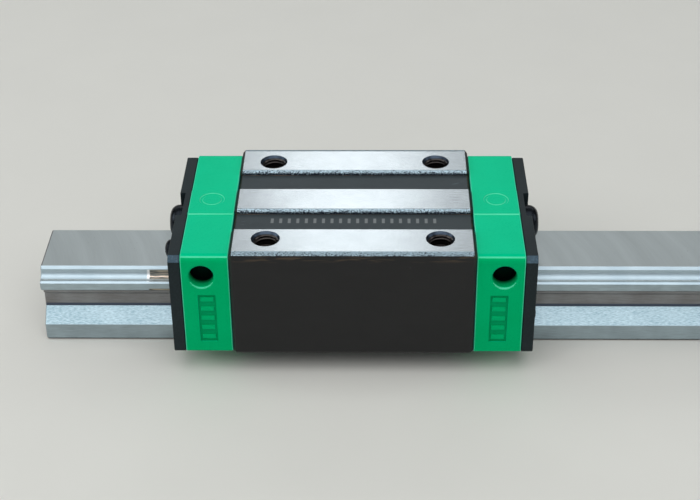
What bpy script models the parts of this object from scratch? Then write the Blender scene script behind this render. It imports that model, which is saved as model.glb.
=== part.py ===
"""A ball-type linear guide: a carriage with four recirculating rows of balls, on a length of profile rail.

X runs along the rail, Y across it, and +Z is up. The origin is the middle of the rail's underside.
The carriage is drawn about its own middle, at rail height, and an empty sets it along the rail.
All sizes are in millimetres, and MM turns them into metres where a mesh is made.
"""

import math

import bmesh
import bpy
from mathutils import Matrix, Vector

MM = 0.001
GAP = 0.1  # between pieces that touch
RUNNING_GAP = 0.05  # between a ball and its groove

# The rail. Its ridge stands between the upper and the lower groove.
RAIL_LENGTH = 200.0
RAIL_HEIGHT = 17.5
RAIL_HALF_WIDTH = 10.0
RAIL_TOP_HALF_WIDTH = 7.2
NECK_HALF_WIDTH = 7.1
NECK_BOTTOM = 7.1
BASE_SHOULDER = 3.9
BASE_CHAMFER = 0.4
RIDGE_MIDDLE = 13.87
RIDGE_HALF_HEIGHT = 0.81
RAIL_HOLE_PITCH = 60.0
RAIL_HOLE_COUNT = 3
RAIL_BOLT_RADIUS = 3.0
RAIL_COUNTERBORE_RADIUS = 4.75
RAIL_COUNTERBORE_DEPTH = 8.5

# The balls and the loops that they run in.
BALL_RADIUS = 1.5875
BALLS_PER_LOOP = 38
BALL_ACROSS = 9.4
BALL_ABOVE_RIDGE = 2.83
GROOVE_RADIUS = 1.68
TURN_RADIUS = 3.18
UPPER_TURN = math.radians(45)
LOWER_TURN = math.radians(-30)
RETURN_BORE_RADIUS = 1.75

# The carriage.
CARRIAGE_PLACE = -32.5
BLOCK_HALF_LENGTH = 25.25
BLOCK_HALF_WIDTH = 22.0
BLOCK_TOP = 30.0
BLOCK_BOTTOM = 4.6
BLOCK_CROWN = 18.9
BLOCK_CHANNEL = 11.6
LEG_INNER = 12.6
BOTTOM_SEAL_ROOF = 6.4
LAND_DROP = 1.0
LAND_SHOULDER = 0.55
CENTRE_LAND = 4.15
SIDE_LAND_INNER = 12.3
SIDE_LAND_OUTER = 20.8
OUTER_EDGE_DROP = 0.3
END_CHAMFER = 0.65
TOP_HOLE_X = 18.0
TOP_HOLE_Y = 16.0
TOP_HOLE_RADIUS = 2.5
TOP_HOLE_MOUTH = 3.0
TOP_HOLE_DEPTH = 6.0

# The end caps and what is on them. Their X is measured from the carriage's middle.
CAP_OUTER = 35.25
CAP_HALF_WIDTH = 21.6
CAP_TOP = 29.05
CAP_BOTTOM = 5.25
CAP_TOP_CORNER = 1.6
CAP_FOOT_CORNER = 0.6
PLATEAU_HALF_WIDTH = 4.85
PLATEAU_RISE = 0.25
SEAL_OUTER = 37.8
SEAL_HALF_WIDTH = 21.4
SEAL_TOP = 28.7
SEAL_BOTTOM = 5.0
SEAL_TOP_CORNER = 1.5
SEAL_FOOT_CORNER = 0.8
LIP_THICKNESS = 1.1
PORT_X = 31.1
PORT_Z = 24.15
PORT_RADIUS = 2.45
PORT_MOUTH = 3.0
PORT_DEPTH = 3.4
LABEL_X = 30.2
LABEL_WIDTH = 3.7
LABEL_LOW = 8.0
LABEL_HIGH = 19.7
LABEL_DEPTH = 0.4
LABEL_BARS = 5
MARK_X = 30.5
MARK_Y = 0.9
MARK_RADIUS = 2.7
MARK_DEPTH = 0.15

PLUG_Z = 24.2
PLUG_HEAD_RADIUS = 3.7
PLUG_HEAD_END = 39.6
PLUG_SHANK_RADIUS = 2.9
PLUG_SHANK_END = 30.5
PLUG_RECESS_FLOOR = 36.6
PLUG_RECESS_LOW = PLUG_Z - 4.4
PLUG_RECESS_HALF_WIDTH = 4.6

SCREW_SHANK_RADIUS = 1.4
SCREW_HOLE_RADIUS = 1.7
SCREW_TAPPED_RADIUS = 1.5
SCREW_HEAD_RADIUS = 2.0
SCREW_HEAD_HEIGHT = 1.3
SCREW_SEAT_RADIUS = 2.12
UPPER_SCREW = (14.2, 26.3)
UPPER_SCREW_DEPTH = 3.4
UPPER_SCREW_SINK = 1.3
LOWER_SCREW = (17.0, 12.3)
LOWER_SCREW_DEPTH = 6.0
LOWER_SCREW_SINK = 0.65
# The end and the side of the one upper screw whose head stands on the seal.
RAISED_SCREW = (-1, -1)

HOLE_STEPS = 20
SMOOTH_ANGLE = math.radians(35)

COLOURS = {
    "rail_steel": ((0.60, 0.62, 0.63), 0.28, 1.0),
    "block_steel": ((0.045, 0.045, 0.05), 0.55, 0.6),
    "cap_plastic": ((0.0, 0.40, 0.17), 0.38, 0.0),
    "seal_rubber": ((0.022, 0.024, 0.026), 0.5, 0.0),
    "lip_rubber": ((0.015, 0.015, 0.016), 0.6, 0.0),
    "screw_steel": ((0.03, 0.03, 0.032), 0.35, 0.9),
    "guide_plastic": ((0.75, 0.74, 0.68), 0.45, 0.0),
    "ball_steel": ((0.80, 0.80, 0.81), 0.08, 1.0),
    "retainer_plastic": ((0.10, 0.10, 0.11), 0.5, 0.0),
}


# Outlines, as lists of (y, z) points.


def arc(centre, radius, start, end, steps):
    """Points along an arc, by angles in degrees from the +Y direction."""
    turns = [math.radians(start + (end - start) * i / steps) for i in range(steps + 1)]
    return [(centre[0] + radius * math.cos(t), centre[1] + radius * math.sin(t)) for t in turns]


def mirrored(half):
    """The whole outline, from the half of it on the +Y side."""
    return half + [(-y, z) for y, z in reversed(half)]


def circle(centre, radius, steps=HOLE_STEPS):
    return arc(centre, radius, 0, 360, steps)[:-1]


def over_ridge(z):
    """The same height on the other side of the ridge's middle."""
    return 2 * RIDGE_MIDDLE - z


def ball_centre(upper):
    """Where a loaded row of balls runs, on the +Y side."""
    return BALL_ACROSS, RIDGE_MIDDLE + (BALL_ABOVE_RIDGE if upper else -BALL_ABOVE_RIDGE)


def turn_direction(upper):
    """The way from a loaded row to its return bore."""
    angle = UPPER_TURN if upper else LOWER_TURN
    return math.cos(angle), math.sin(angle)


def return_centre(upper):
    (y, z), (dy, dz) = ball_centre(upper), turn_direction(upper)
    return y + 2 * TURN_RADIUS * dy, z + 2 * TURN_RADIUS * dz


def rail_outline():
    play = (GROOVE_RADIUS - BALL_RADIUS - RUNNING_GAP) * math.sqrt(0.5)
    y, z = ball_centre(True)
    upper_groove = arc((y + play, z + play), GROOVE_RADIUS, 175, 275, 8)
    lower_groove = [(y, over_ridge(z)) for y, z in reversed(upper_groove)]
    return mirrored(
        [(RAIL_TOP_HALF_WIDTH, RAIL_HEIGHT)]
        + upper_groove
        + [
            (RAIL_HALF_WIDTH, RIDGE_MIDDLE + RIDGE_HALF_HEIGHT),
            (RAIL_HALF_WIDTH, RIDGE_MIDDLE - RIDGE_HALF_HEIGHT),
        ]
        + lower_groove
        + [
            (NECK_HALF_WIDTH, over_ridge(RAIL_HEIGHT)),
            (NECK_HALF_WIDTH, NECK_BOTTOM),
            (RAIL_HALF_WIDTH, BASE_SHOULDER),
            (RAIL_HALF_WIDTH, BASE_CHAMFER),
            (RAIL_HALF_WIDTH - BASE_CHAMFER, 0.0),
        ]
    )


def block_outline():
    """Three lands on top, and inside a channel that wraps round the rail and its balls."""
    floor = BLOCK_TOP - LAND_DROP
    shoulder = BLOCK_TOP - 0.5 * LAND_DROP
    lower_groove = arc(ball_centre(False), BALL_RADIUS + RUNNING_GAP, -108, -5, 8)
    upper_groove = [(y, over_ridge(z)) for y, z in reversed(lower_groove)]
    return mirrored(
        [
            (CENTRE_LAND, BLOCK_TOP),
            (CENTRE_LAND + LAND_SHOULDER, shoulder),
            (CENTRE_LAND + LAND_SHOULDER + 0.1, floor),
            (SIDE_LAND_INNER - LAND_SHOULDER - 0.1, floor),
            (SIDE_LAND_INNER - LAND_SHOULDER, shoulder),
            (SIDE_LAND_INNER, BLOCK_TOP),
            (SIDE_LAND_OUTER, BLOCK_TOP),
            (BLOCK_HALF_WIDTH, BLOCK_TOP - OUTER_EDGE_DROP),
            (BLOCK_HALF_WIDTH, BLOCK_BOTTOM + 1.0),
            (BLOCK_HALF_WIDTH - 1.0, BLOCK_BOTTOM),
            (LEG_INNER, BLOCK_BOTTOM),
            (LEG_INNER, BOTTOM_SEAL_ROOF),
            (10.4, BOTTOM_SEAL_ROOF),
            (lower_groove[0][0], 7.9),
        ]
        + lower_groove
        + [(BLOCK_CHANNEL, 11.4), (BLOCK_CHANNEL, over_ridge(11.4))]
        + upper_groove
        + [(lower_groove[0][0], BLOCK_CROWN)]
    )


def cap_outline():
    """The end cap, with room round the rail."""
    plateau = [
        (PLATEAU_HALF_WIDTH, CAP_TOP + PLATEAU_RISE),
        (PLATEAU_HALF_WIDTH + PLATEAU_RISE, CAP_TOP),
    ]
    side = rounded_side(
        CAP_HALF_WIDTH, (CAP_TOP, CAP_TOP_CORNER), (CAP_BOTTOM, CAP_FOOT_CORNER)
    )
    return mirrored(plateau + side + rail_room(CAP_BOTTOM))


def rounded_side(half_width, top, foot):
    """The outer side of a cap or a seal. Its top and its foot are each a height and a corner radius."""
    (high, top_corner), (low, foot_corner) = top, foot
    return arc((half_width - top_corner, high - top_corner), top_corner, 90, 0, 5) + arc(
        (half_width - foot_corner, low + foot_corner), foot_corner, 0, -90, 4
    )


def slope_across(z):
    """Half the rail's width at this height on the slope of its base."""
    share = (z - BASE_SHOULDER) / (NECK_BOTTOM - BASE_SHOULDER)
    return RAIL_HALF_WIDTH - share * (RAIL_HALF_WIDTH - NECK_HALF_WIDTH)


def rail_room(bottom):
    """The half outline of the opening that clears the rail, from the foot of a leg up to the middle."""
    return [
        (slope_across(bottom) + 0.85, bottom),
        (7.9, 7.6),
        (7.9, 9.6),
        (10.7, 12.3),
        (10.7, 15.4),
        (8.0, 18.2),
    ]


def seal_outline():
    side = rounded_side(
        SEAL_HALF_WIDTH, (SEAL_TOP, SEAL_TOP_CORNER), (SEAL_BOTTOM, SEAL_FOOT_CORNER)
    )
    return mirrored(side + rail_room(SEAL_BOTTOM))


def lip_outline():
    """A band that follows the rail closely, inside the seal's opening."""
    inner = [
        (RAIL_TOP_HALF_WIDTH + 0.1, RAIL_HEIGHT + 0.2),
        (8.15, 16.75),
        (8.75, 15.95),
        (9.7, 15.3),
        (RAIL_HALF_WIDTH + 0.2, RIDGE_MIDDLE + RIDGE_HALF_HEIGHT + 0.1),
        (RAIL_HALF_WIDTH + 0.2, RIDGE_MIDDLE - RIDGE_HALF_HEIGHT - 0.1),
        (9.7, over_ridge(15.3)),
        (8.75, over_ridge(15.95)),
        (8.15, over_ridge(16.75)),
        (NECK_HALF_WIDTH + 0.2, 10.1),
        (NECK_HALF_WIDTH + 0.2, NECK_BOTTOM + 0.1),
        (slope_across(SEAL_BOTTOM) + 0.3, SEAL_BOTTOM),
    ]
    outer = [(y - GAP, z) for y, z in rail_room(SEAL_BOTTOM)]
    outer[-1] = (outer[-1][0], outer[-1][1] - GAP)
    half = inner + outer
    left = [(-y, z) for y, z in reversed(half)]
    # Both bands meet over the rail's top: outer right, outer left, inner left, inner right.
    return half[len(inner):] + left[: len(outer)] + left[len(outer):] + half[: len(inner)]


# Making objects.


def material(name):
    colour, roughness, metallic = COLOURS[name]
    made = bpy.data.materials.new(name)
    made.use_nodes = True
    shader = made.node_tree.nodes["Principled BSDF"]
    shader.inputs["Base Color"].default_value = (*colour, 1.0)
    shader.inputs["Roughness"].default_value = roughness
    shader.inputs["Metallic"].default_value = metallic
    return made


def put(name, mesh, finish, parent):
    """A finished piece in the part's collection."""
    mesh.shade_smooth()
    mesh.set_sharp_from_angle(angle=SMOOTH_ANGLE)
    mesh.materials.append(MATERIALS[finish])
    piece = bpy.data.objects.new(name, mesh)
    PART.objects.link(piece)
    piece.parent = parent
    return piece


def prism_mesh(name, outline, low, high, holes=()):
    """A mesh with this outline across X, from low to high along X, with round holes along it."""
    curve = bpy.data.curves.new(name, "CURVE")
    curve.dimensions = "2D"
    curve.fill_mode = "BOTH"
    curve.extrude = (high - low) / 2 * MM
    for points in [outline, *holes]:
        spline = curve.splines.new("POLY")
        spline.points.add(len(points) - 1)
        for point, (y, z) in zip(spline.points, points):
            point.co = (y * MM, z * MM, 0.0, 1.0)
        spline.use_cyclic_u = True
    flat = bpy.data.objects.new(name + "_outline", curve)
    PART.objects.link(flat)
    # The curve's own X, Y and Z become the model's Y, Z and X.
    flat.matrix_world = Matrix.Translation(((low + high) / 2 * MM, 0.0, 0.0)) @ Matrix(
        ((0, 0, 1, 0), (1, 0, 0, 0), (0, 1, 0, 0), (0, 0, 0, 1))
    )
    return baked(flat)


def baked(source):
    """The object's evaluated shape as a closed mesh in its parent's space. The object is removed."""
    bpy.context.view_layer.update()
    graph = bpy.context.evaluated_depsgraph_get()
    mesh = bpy.data.meshes.new_from_object(source.evaluated_get(graph))
    mesh.transform(source.matrix_world)
    shape = bmesh.new()
    shape.from_mesh(mesh)
    bmesh.ops.remove_doubles(shape, verts=shape.verts, dist=1e-6)
    bmesh.ops.recalc_face_normals(shape, faces=shape.faces)
    shape.to_mesh(mesh)
    shape.free()
    bpy.data.objects.remove(source)
    return mesh


def turned(name, profile, axis, place, steps=HOLE_STEPS):
    """An object turned about its axis, from (radius, height) points that run from its top to its foot."""
    mesh = bpy.data.meshes.new(name)
    points = [(radius * MM, 0.0, height * MM) for radius, height in profile]
    mesh.from_pydata(points, [(i, i + 1) for i in range(len(points) - 1)], [])
    piece = bpy.data.objects.new(name, mesh)
    screw = piece.modifiers.new("Turn", "SCREW")
    screw.axis = "Z"
    screw.steps = steps
    screw.render_steps = steps
    screw.use_merge_vertices = True
    screw.merge_threshold = 1e-6
    screw.use_smooth_shade = False
    piece.rotation_mode = "QUATERNION"
    piece.rotation_quaternion = Vector(axis).to_track_quat("Z", "Y")
    piece.location = Vector(place) * MM
    return piece


def cut(piece, cutter):
    """Takes the cutter's shape out of the piece."""
    CUTTERS.objects.link(cutter)
    cutter.parent = piece.parent
    cutter.hide_render = True
    cutter.display_type = "WIRE"
    boolean = piece.modifiers.new("Cut " + cutter.name, "BOOLEAN")
    boolean.operation = "DIFFERENCE"
    boolean.solver = "EXACT"
    boolean.object = cutter


def box_cutter(name, low, high):
    mesh = bpy.data.meshes.new(name)
    shape = bmesh.new()
    bmesh.ops.create_cube(shape, size=1.0)
    middle = [(a + b) / 2 * MM for a, b in zip(low, high)]
    sides = [(b - a) * MM for a, b in zip(low, high)]
    bmesh.ops.transform(
        shape, verts=shape.verts, matrix=Matrix.Translation(middle) @ Matrix.Diagonal((*sides, 1.0))
    )
    shape.to_mesh(mesh)
    shape.free()
    return bpy.data.objects.new(name, mesh)


# The pieces.


def make_rail():
    rail = put(
        "rail",
        prism_mesh("rail", rail_outline(), -RAIL_LENGTH / 2, RAIL_LENGTH / 2),
        "rail_steel",
        None,
    )
    step = RAIL_HEIGHT - RAIL_COUNTERBORE_DEPTH
    profile = [
        (0.0, RAIL_HEIGHT + 1.0),
        (RAIL_COUNTERBORE_RADIUS, RAIL_HEIGHT + 1.0),
        (RAIL_COUNTERBORE_RADIUS, step),
        (RAIL_BOLT_RADIUS, step),
        (RAIL_BOLT_RADIUS, -1.0),
        (0.0, -1.0),
    ]
    for i in range(RAIL_HOLE_COUNT):
        x = (i - (RAIL_HOLE_COUNT - 1) / 2) * RAIL_HOLE_PITCH
        cut(rail, turned(f"bolt_hole_{i + 1}", profile, (0, 0, 1), (x, 0, 0), 28))


def make_block(carriage):
    returns = [
        circle((side * return_centre(upper)[0], return_centre(upper)[1]), RETURN_BORE_RADIUS)
        for side in (-1, 1)
        for upper in (True, False)
    ]
    block = put(
        "carriage_block",
        prism_mesh("block", block_outline(), -BLOCK_HALF_LENGTH, BLOCK_HALF_LENGTH, returns),
        "block_steel",
        carriage,
    )
    mouth = TOP_HOLE_MOUTH - TOP_HOLE_RADIUS
    tapped = [
        (0.0, 1.0),
        (TOP_HOLE_MOUTH + 1.0, 1.0),
        (TOP_HOLE_RADIUS, -mouth),
        (TOP_HOLE_RADIUS, -TOP_HOLE_DEPTH),
        (0.0, -TOP_HOLE_DEPTH - 1.0),
    ]
    for x in (-TOP_HOLE_X, TOP_HOLE_X):
        for y in (-TOP_HOLE_Y, TOP_HOLE_Y):
            cut(block, turned(f"top_hole_{x:+.0f}_{y:+.0f}", tapped, (0, 0, 1), (x, y, BLOCK_TOP), 24))
    for end in (-1, 1):
        for side in (-1, 1):
            for (y, z), depth in ((UPPER_SCREW, UPPER_SCREW_DEPTH), (LOWER_SCREW, LOWER_SCREW_DEPTH)):
                drilled = [
                    (0.0, 1.0),
                    (SCREW_TAPPED_RADIUS, 1.0),
                    (SCREW_TAPPED_RADIUS, -depth),
                    (0.0, -depth - 0.5),
                ]
                name = f"tapped_hole_{end:+d}_{side:+d}_{z:.0f}"
                place = (end * BLOCK_HALF_LENGTH, side * y, z)
                cut(block, turned(name, drilled, (end, 0, 0), place, 12))
        chamfer_end(block, end)


def chamfer_end(block, end):
    """Cuts the top edge of one end at 45 degrees."""
    size = 2 * END_CHAMFER
    cutter = box_cutter("end_chamfer", (-size, -30.0, 0.0), (size, 30.0, size))
    cutter.name = f"end_chamfer_{end:+d}"
    inset = END_CHAMFER / 2
    cutter.location = Vector((end * (BLOCK_HALF_LENGTH - inset), 0.0, BLOCK_TOP - inset)) * MM
    cutter.rotation_euler = (0.0, math.radians(45 * end), 0.0)
    cut(block, cutter)


def make_cap(carriage, end, word):
    """One moulded end cap, with the four pockets in which the balls turn round."""
    low, high = sorted((end * (BLOCK_HALF_LENGTH + GAP), end * CAP_OUTER))
    screws = [
        circle((side * y, z), SCREW_HOLE_RADIUS, 16)
        for side in (-1, 1)
        for y, z in (UPPER_SCREW, LOWER_SCREW)
    ]
    plug_hole = circle((0.0, PLUG_Z), PLUG_SHANK_RADIUS + GAP)
    cap = put(
        f"end_cap_{word}",
        prism_mesh("cap", cap_outline(), low, high, [*screws, plug_hole]),
        "cap_plastic",
        carriage,
    )
    for side in (-1, 1):
        for upper in (True, False):
            cut(cap, turn_pocket(end, side, upper))
        port = [
            (0.0, 1.0),
            (PORT_MOUTH + 1.0, 1.0),
            (PORT_RADIUS, PORT_RADIUS - PORT_MOUTH),
            (PORT_RADIUS, -PORT_DEPTH),
            (0.0, -PORT_DEPTH),
        ]
        place = (end * PORT_X, side * CAP_HALF_WIDTH, PORT_Z)
        cut(cap, turned(f"port_{word}_{side:+d}", port, (0, side, 0), place, 24))
        for cutter in label_cutters(end, side):
            cut(cap, cutter)
    mark = [(0.0, 1.0), (MARK_RADIUS, 1.0), (MARK_RADIUS, -MARK_DEPTH), (0.0, -MARK_DEPTH)]
    place = (end * MARK_X, MARK_Y, CAP_TOP + PLATEAU_RISE)
    cut(cap, turned(f"mould_mark_{word}", mark, (0, 0, 1), place, 24))


def turn_frame(end, side, upper):
    """A matrix whose X points out of the block's end, Y along the turn, and Z across the pocket."""
    (y, z), (dy, dz) = ball_centre(upper), turn_direction(upper)
    along = Vector((0.0, side * dy, dz))
    out = Vector((end, 0.0, 0.0))
    across = out.cross(along)
    middle = Vector((end * BLOCK_HALF_LENGTH, side * (y + TURN_RADIUS * dy), z + TURN_RADIUS * dz)) * MM
    frame = Matrix((out, along, across)).transposed().to_4x4()
    frame.translation = middle
    return frame


def half_round(name, radius, thickness, frame, start=0.0, steps=12):
    """A half disc that stands out from the block's end, in a turn's frame."""
    bow = arc((0.0, 0.0), radius, -90, 90, steps)
    outline = [(max(x, start), y) for x, y in bow]
    mesh = bpy.data.meshes.new(name)
    shape = bmesh.new()
    bottom = [shape.verts.new((x * MM, y * MM, -thickness / 2 * MM)) for x, y in outline]
    face = shape.faces.new(bottom)
    risen = bmesh.ops.extrude_face_region(shape, geom=[face])["geom"]
    top = [v for v in risen if isinstance(v, bmesh.types.BMVert)]
    bmesh.ops.translate(shape, verts=top, vec=(0.0, 0.0, thickness * MM))
    bmesh.ops.transform(shape, verts=shape.verts, matrix=frame)
    bmesh.ops.recalc_face_normals(shape, faces=shape.faces)
    shape.to_mesh(mesh)
    shape.free()
    return mesh


def turn_pocket(end, side, upper):
    name = f"turn_pocket_{end:+d}_{side:+d}_{'upper' if upper else 'lower'}"
    radius = TURN_RADIUS + BALL_RADIUS + 0.25
    thickness = 2 * BALL_RADIUS + 0.5
    mesh = half_round(name, radius, thickness, turn_frame(end, side, upper))
    return bpy.data.objects.new(name, mesh)


def make_return_guide(carriage, end, side, upper, name):
    radius = TURN_RADIUS - BALL_RADIUS - 0.2
    frame = turn_frame(end, side, upper)
    mesh = half_round(name, radius, 2 * BALL_RADIUS, frame, start=GAP, steps=10)
    put(name, mesh, "guide_plastic", carriage)


def label_cutters(end, side):
    """The bands of a sunk panel that leave its plain bars standing."""
    pitch = (LABEL_HIGH - LABEL_LOW) / LABEL_BARS
    band = 0.62 * pitch
    outer, inner = side * (CAP_HALF_WIDTH + 1.0), side * (CAP_HALF_WIDTH - LABEL_DEPTH)
    near, far = (end * (LABEL_X - LABEL_WIDTH / 2), end * (LABEL_X + LABEL_WIDTH / 2))
    for i in range(LABEL_BARS):
        z = LABEL_LOW + (i + 0.5) * pitch
        low = (min(near, far), min(outer, inner), z - band / 2)
        high = (max(near, far), max(outer, inner), z + band / 2)
        yield box_cutter(f"label_{end:+d}_{side:+d}_{i + 1}", low, high)


def make_end_seal(carriage, end, word):
    """The black plate over the cap, sunk round the grease plug."""
    low, high = sorted((end * (CAP_OUTER + GAP), end * SEAL_OUTER))
    screws = [
        circle((side * y, z), SCREW_HOLE_RADIUS, 16)
        for side in (-1, 1)
        for y, z in (UPPER_SCREW, LOWER_SCREW)
    ]
    plug_hole = circle((0.0, PLUG_Z), PLUG_SHANK_RADIUS + 2 * GAP)
    seal = put(
        f"end_seal_{word}",
        prism_mesh("seal", seal_outline(), low, high, [*screws, plug_hole]),
        "seal_rubber",
        carriage,
    )
    near, far = sorted((end * PLUG_RECESS_FLOOR, end * (SEAL_OUTER + 1.0)))
    cut(
        seal,
        box_cutter(
            f"plug_recess_{word}",
            (near, -PLUG_RECESS_HALF_WIDTH, PLUG_RECESS_LOW),
            (far, PLUG_RECESS_HALF_WIDTH, SEAL_TOP + 1.0),
        ),
    )
    for side in (-1, 1):
        for upper, (y, z) in ((True, UPPER_SCREW), (False, LOWER_SCREW)):
            sink = screw_sink(end, side, upper)
            if sink > 0.0:
                seat = [
                    (0.0, 1.0),
                    (SCREW_SEAT_RADIUS, 1.0),
                    (SCREW_SEAT_RADIUS, -sink),
                    (0.0, -sink),
                ]
                name = f"head_seat_{word}_{side:+d}_{z:.0f}"
                cut(seal, turned(name, seat, (end, 0, 0), (end * SEAL_OUTER, side * y, z), 16))


def screw_sink(end, side, upper):
    """How far a screw's head is sunk into the seal."""
    if not upper:
        return LOWER_SCREW_SINK
    return 0.0 if (end, side) == RAISED_SCREW else UPPER_SCREW_SINK


def make_seal_lip(carriage, end, word):
    low, high = sorted((end * (SEAL_OUTER - LIP_THICKNESS), end * SEAL_OUTER))
    put(f"seal_lip_{word}", prism_mesh("lip", lip_outline(), low, high), "lip_rubber", carriage)


def make_grease_plug(carriage, end, word):
    """A button-headed plug in the cap's grease hole, with a hexagon socket."""
    foot = PLUG_RECESS_FLOOR + GAP
    rise = PLUG_HEAD_END - foot
    rounding = 2.0
    shoulder = arc((PLUG_HEAD_RADIUS - rounding, rise - rounding), rounding, 90, 0, 6)
    profile = (
        [(0.0, rise)]
        + shoulder
        + [
            (PLUG_HEAD_RADIUS, 0.0),
            (PLUG_SHANK_RADIUS, 0.0),
            (PLUG_SHANK_RADIUS, PLUG_SHANK_END - foot),
            (0.0, PLUG_SHANK_END - foot),
        ]
    )
    place = (end * foot, 0.0, PLUG_Z)
    mesh = baked_turn(f"grease_plug_{word}", profile, (end, 0, 0), place, 24)
    plug = put(f"grease_plug_{word}", mesh, "screw_steel", carriage)
    socket = [(0.0, rise + 1.0), (1.45, rise + 1.0), (1.45, rise - 1.3), (0.0, rise - 1.3)]
    cut(plug, turned(f"plug_socket_{word}", socket, (end, 0, 0), place, 6))


def baked_turn(name, profile, axis, place, steps):
    source = turned(name, profile, axis, place, steps)
    PART.objects.link(source)
    return baked(source)


def make_cap_screw(carriage, end, side, upper, name):
    """A low domed screw through seal and cap into the block."""
    (y, z), depth = (
        (UPPER_SCREW, UPPER_SCREW_DEPTH) if upper else (LOWER_SCREW, LOWER_SCREW_DEPTH)
    )
    foot = SEAL_OUTER - screw_sink(end, side, upper) + GAP / 2
    tip = BLOCK_HALF_LENGTH - depth + GAP - foot
    profile = [
        (0.0, SCREW_HEAD_HEIGHT),
        (0.55 * SCREW_HEAD_RADIUS, 0.9 * SCREW_HEAD_HEIGHT),
        (0.88 * SCREW_HEAD_RADIUS, 0.6 * SCREW_HEAD_HEIGHT),
        (SCREW_HEAD_RADIUS, 0.0),
        (SCREW_SHANK_RADIUS, 0.0),
        (SCREW_SHANK_RADIUS, tip),
        (0.0, tip),
    ]
    mesh = baked_turn(name, profile, (end, 0, 0), (end * foot, side * y, z), 12)
    put(name, mesh, "screw_steel", carriage)


def loop_point(travel, side, upper):
    """The place of a point that has gone this far round a loop, in metres."""
    straight = 2 * BLOCK_HALF_LENGTH
    turn = math.pi * TURN_RADIUS
    travel %= 2 * (straight + turn)
    if travel < straight:
        x, d = travel - BLOCK_HALF_LENGTH, 0.0
    elif travel < straight + turn:
        angle = (travel - straight) / TURN_RADIUS
        x = BLOCK_HALF_LENGTH + TURN_RADIUS * math.sin(angle)
        d = TURN_RADIUS * (1 - math.cos(angle))
    elif travel < 2 * straight + turn:
        x, d = BLOCK_HALF_LENGTH - (travel - straight - turn), 2 * TURN_RADIUS
    else:
        angle = (travel - 2 * straight - turn) / TURN_RADIUS
        x = -BLOCK_HALF_LENGTH - TURN_RADIUS * math.sin(angle)
        d = TURN_RADIUS * (1 + math.cos(angle))
    (y, z), (dy, dz) = ball_centre(upper), turn_direction(upper)
    return Vector((x, side * (y + d * dy), z + d * dz)) * MM


def make_ball_circuit(carriage, side, upper, name):
    """All the balls of one loop. They touch, so they are one string of beads here."""
    length = 4 * BLOCK_HALF_LENGTH + 2 * math.pi * TURN_RADIUS
    pitch = length / BALLS_PER_LOOP
    beads = ((-0.5, 0.3), (-0.2, 0.95), (0.2, 0.95))
    curve = bpy.data.curves.new(name, "CURVE")
    curve.dimensions = "3D"
    curve.bevel_depth = BALL_RADIUS * MM
    curve.bevel_resolution = 1
    spline = curve.splines.new("POLY")
    spline.points.add(len(beads) * BALLS_PER_LOOP - 1)
    for i, point in enumerate(spline.points):
        ball, ring = divmod(i, len(beads))
        share, radius = beads[ring]
        point.co = (*loop_point((ball + 0.5 + share) * pitch, side, upper), 1.0)
        point.radius = radius
    spline.use_cyclic_u = True
    beaded = bpy.data.objects.new(name, curve)
    PART.objects.link(beaded)
    put(name, baked(beaded), "ball_steel", carriage)


def make_retainers(carriage):
    """The top retainer keeps the upper rows in, and a strip between the rows keeps both sides in."""
    reach = BLOCK_HALF_LENGTH - GAP
    top = mirrored([(8.4, BLOCK_CROWN - GAP), (8.0, 18.35), (8.0, 17.75)])
    put("ball_retainer_top", prism_mesh("retainer", top, -reach, reach), "retainer_plastic", carriage)
    for side, word in ((-1, "front"), (1, "back")):
        strip = [
            (10.3, 15.2),
            (11.4, 14.8),
            (11.4, over_ridge(14.8)),
            (10.3, over_ridge(15.2)),
        ]
        outline = [(side * y, z) for y, z in strip]
        name = f"ball_retainer_{word}"
        put(name, prism_mesh(name, outline, -reach, reach), "retainer_plastic", carriage)


def make_bottom_seals(carriage):
    """A strip under each leg, with a lip that leans on the rail's sloping base."""
    reach = BLOCK_HALF_LENGTH - GAP
    strip = [
        (12.5, BLOCK_BOTTOM + 0.1),
        (12.5, 6.3),
        (10.9, 6.3),
        (9.35, 5.35),
        (9.5, 4.95),
        (10.9, 5.3),
        (10.9, BLOCK_BOTTOM + 0.1),
    ]
    for side, word in ((-1, "front"), (1, "back")):
        outline = [(side * y, z) for y, z in strip]
        name = f"bottom_seal_{word}"
        put(name, prism_mesh(name, outline, -reach, reach), "lip_rubber", carriage)


def clear_scene():
    for thing in list(bpy.data.objects):
        bpy.data.objects.remove(thing)


def new_collection(name):
    made = bpy.data.collections.new(name)
    bpy.context.scene.collection.children.link(made)
    return made


clear_scene()
PART = new_collection("linear_guide")
CUTTERS = new_collection("cutters")
MATERIALS = {finish: material(finish) for finish in COLOURS}

make_rail()
carriage_empty = bpy.data.objects.new("carriage_middle", None)
PART.objects.link(carriage_empty)
make_block(carriage_empty)
make_retainers(carriage_empty)
make_bottom_seals(carriage_empty)
for end, word in ((-1, "left"), (1, "right")):
    make_cap(carriage_empty, end, word)
    make_end_seal(carriage_empty, end, word)
    make_seal_lip(carriage_empty, end, word)
    make_grease_plug(carriage_empty, end, word)
for side, side_word in ((-1, "front"), (1, "back")):
    for upper, level in ((True, "upper"), (False, "lower")):
        make_ball_circuit(carriage_empty, side, upper, f"ball_circuit_{side_word}_{level}")
        for end, word in ((-1, "left"), (1, "right")):
            where = f"{word}_{side_word}_{level}"
            make_cap_screw(carriage_empty, end, side, upper, f"cap_screw_{where}")
            make_return_guide(carriage_empty, end, side, upper, f"return_guide_{where}")
carriage_empty.location.x = CARRIAGE_PLACE * MM
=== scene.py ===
"""The looks of a ball-type linear guide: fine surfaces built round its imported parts.

Lengths below are in millimetres, and MM turns them into metres.
X runs along the rail, Y across it, Z up.
Carriage pieces are drawn about the carriage's own middle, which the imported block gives.
"""

import math

import bmesh
import bpy
from mathutils import Matrix, Vector


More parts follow.
